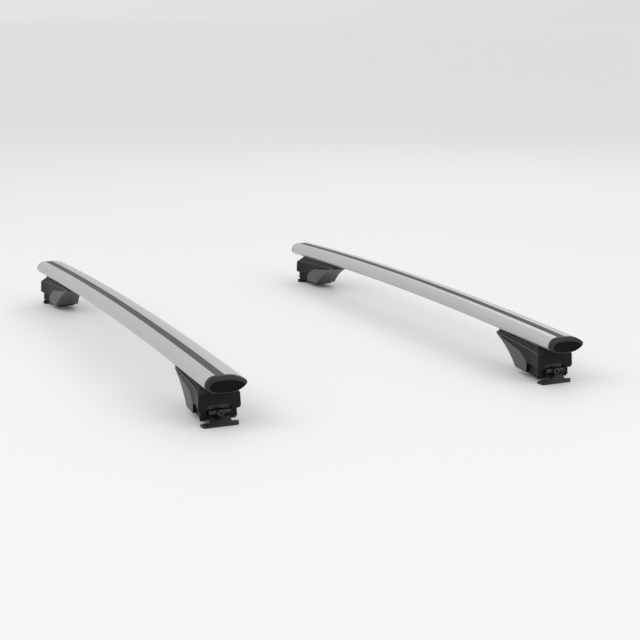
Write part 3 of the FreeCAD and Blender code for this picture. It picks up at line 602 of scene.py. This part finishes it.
def paint_core_shade(mesh):
    """Paint the core's faces, outboard of the fin and below the cover, darker than the fin: painted shade
    where the cover shades them.
    """
    mesh.materials.append(FINISHES["core_painted_shade"])
    for face in mesh.polygons:
        # painted shade on the faces outboard of the fin and below the cover
        if abs(face.center.x) > CORE_SHADE_START and face.center.z < CORE_SHADE_TOP:
            face.material_index = 1


def softened(node, width):
    """A copy of a solid's mesh with bevelled edges, shown in its place."""
    work = bmesh.new()
    work.from_mesh(frame["nodes"][node].data)
    bmesh.ops.remove_doubles(work, verts=work.verts, dist=SOLID_MERGE)
    bmesh.ops.dissolve_limit(work, angle_limit=FLAT_ANGLE, verts=work.verts, edges=work.edges)
    mesh = bpy.data.meshes.new(node + "_soft")
    work.to_mesh(mesh)
    work.free()
    mesh.materials.clear()
    mesh.materials.append(FINISHES[slot_of[node]])
    piece = linked(node + "_soft", mesh)
    bevel = piece.modifiers.new("edge", "BEVEL")
    bevel.width = width
    bevel.segments = 3
    bevel.limit_method = "ANGLE"
    bevel.angle_limit = EDGE_ANGLE
    bevel.use_clamp_overlap = True
    piece.data = smooth(baked(piece))
    even = piece.modifiers.new("flat faces", "WEIGHTED_NORMAL")
    even.mode = "FACE_AREA"
    even.weight = 100
    even.keep_sharp = True
    piece.data = baked(piece)
    return piece


for axle in BAR_ACROSS:
    for label in SIDES:
        for part, width in EDGE_WIDTH.items():
            node = f"{axle}_{label}_{part}"
            piece = softened(node, width)
            if part == "foot_body":
                paint_core_shade(piece.data)
            stand_for(piece, node)
print("softened pieces:", len(BAR_ACROSS) * len(SIDES) * len(EDGE_WIDTH))

# %% [markdown]
# The studio has a pale floor, three soft lamps and a pale surround. The key hangs high in front, a weak one
# behind lifts the far edges, and a long low one on the near side puts a line of light on the claws' rolled
# shoulders. The surround is brightest overhead and ahead, and darkest low on the near side, so the satin
# metal gets its gradient and the outer faces of the feet stay dark.

# %% Floor and lamps
FLOOR_HALF = 400.0
FLOOR_COLOUR = (0.90, 0.90, 0.905, 1.0)
FLOOR_ROUGHNESS = 0.7
AIM = (0.0, 0.0, 0.05)
NEAR_FEET = (-0.6, 0.0, 0.05)
LAMPS = {
    # place, aim, width and height, power in watts
    "high_key": ((-0.2, 3.6, 3.4), AIM, (3.0, 3.0), 44.0),
    "back_rim": ((2.6, -2.4, 3.0), AIM, (2.6, 2.6), 14.0),
    "claw_light": ((-3.3, -1.6, 1.9), NEAR_FEET, (2.6, 0.7), 19.0),
}


def studio_floor():
    mesh = bpy.data.meshes.new("studio_floor")
    corners = [(x * FLOOR_HALF, y * FLOOR_HALF, 0) for x, y in ((-1, -1), (1, -1), (1, 1), (-1, 1))]
    mesh.from_pydata(corners, [], [(0, 1, 2, 3)])
    material, sheet, shader = new_finish("pale_floor")
    feed(sheet, shader, {"Base Color": FLOOR_COLOUR, "Roughness": FLOOR_ROUGHNESS})
    mesh.materials.append(material)
    linked("studio_floor", mesh)


def soft_lamp(name, spot, aim, size, power):
    data = bpy.data.lights.new(name, "AREA")
    data.shape = "ELLIPSE"
    data.size, data.size_y = size
    data.energy = power
    lamp = linked(name, data)
    lamp.location = spot
    lamp.rotation_mode = "QUATERNION"
    lamp.rotation_quaternion = (Vector(aim) - Vector(spot)).to_track_quat("-Z", "Y")


studio_floor()
for name, lamp in LAMPS.items():
    soft_lamp(name, *lamp)
print("lamps:", ", ".join(LAMPS))

# %% [markdown]
# The surround is one smooth gradient. Its brightness grows with the direction's share along a slanted
# line, which a dot product gives, so no picture of a room is needed.

# %% The surround
GLOW_LINE = (0.30, 0.12, 0.50)
GLOW_LEVEL = 0.46
GLOW_LOW = (0.46, 0.464, 0.47)
GLOW_HIGH = (1.0, 1.0, 1.0)
GLOW_STRENGTH = 0.9


def surround():
    world = bpy.data.worlds.new("pale_surround")
    world.use_nodes = True
    scene.world = world
    sheet = Wire(world.node_tree)
    where = sheet.node("ShaderNodeTexCoord", output="Generated")
    slant = sheet.node("ShaderNodeVectorMath", {"operation": "DOT_PRODUCT"},
                       {0: where, 1: GLOW_LINE}, "Value")
    share = sheet.node("ShaderNodeClamp", None, {"Value": slant + GLOW_LEVEL})
    glow = blend(sheet, share, GLOW_LOW, GLOW_HIGH)
    light = sheet.node("ShaderNodeBackground", None, {"Color": glow, "Strength": GLOW_STRENGTH})
    Wire(sheet.tree, sheet.tree.nodes["World Output"].inputs["Surface"]).take(light)


surround()
print("surround:", scene.world.name)

# %% [markdown]
# The camera stands where the photograph was taken, outside the left of the pair and ahead of it, a little
# above the bars. Its place, its turn and its lens were worked out from the bars' ends and edges.

# %% Camera
CAMERA_SPOT = Vector((-2.819, 1.1696, 0.7125))
CAMERA_YAW = 0.4274
CAMERA_PITCH = 0.2167
FOCAL_PIXELS = 1359.9
FRAME_PIXELS = 640
SENSOR = 36.0


def camera():
    data = bpy.data.cameras.new("camera")
    data.sensor_width = SENSOR
    data.lens = FOCAL_PIXELS / FRAME_PIXELS * SENSOR
    piece = linked("camera", data)
    level = math.cos(CAMERA_PITCH)
    ahead = Vector((math.cos(CAMERA_YAW) * level, -math.sin(CAMERA_YAW) * level, -math.sin(CAMERA_PITCH)))
    piece.location = CAMERA_SPOT
    piece.rotation_mode = "QUATERNION"
    piece.rotation_quaternion = ahead.to_track_quat("-Z", "Y")
    scene.camera = piece
    print("lens in millimetres:", round(data.lens, 2))


camera()
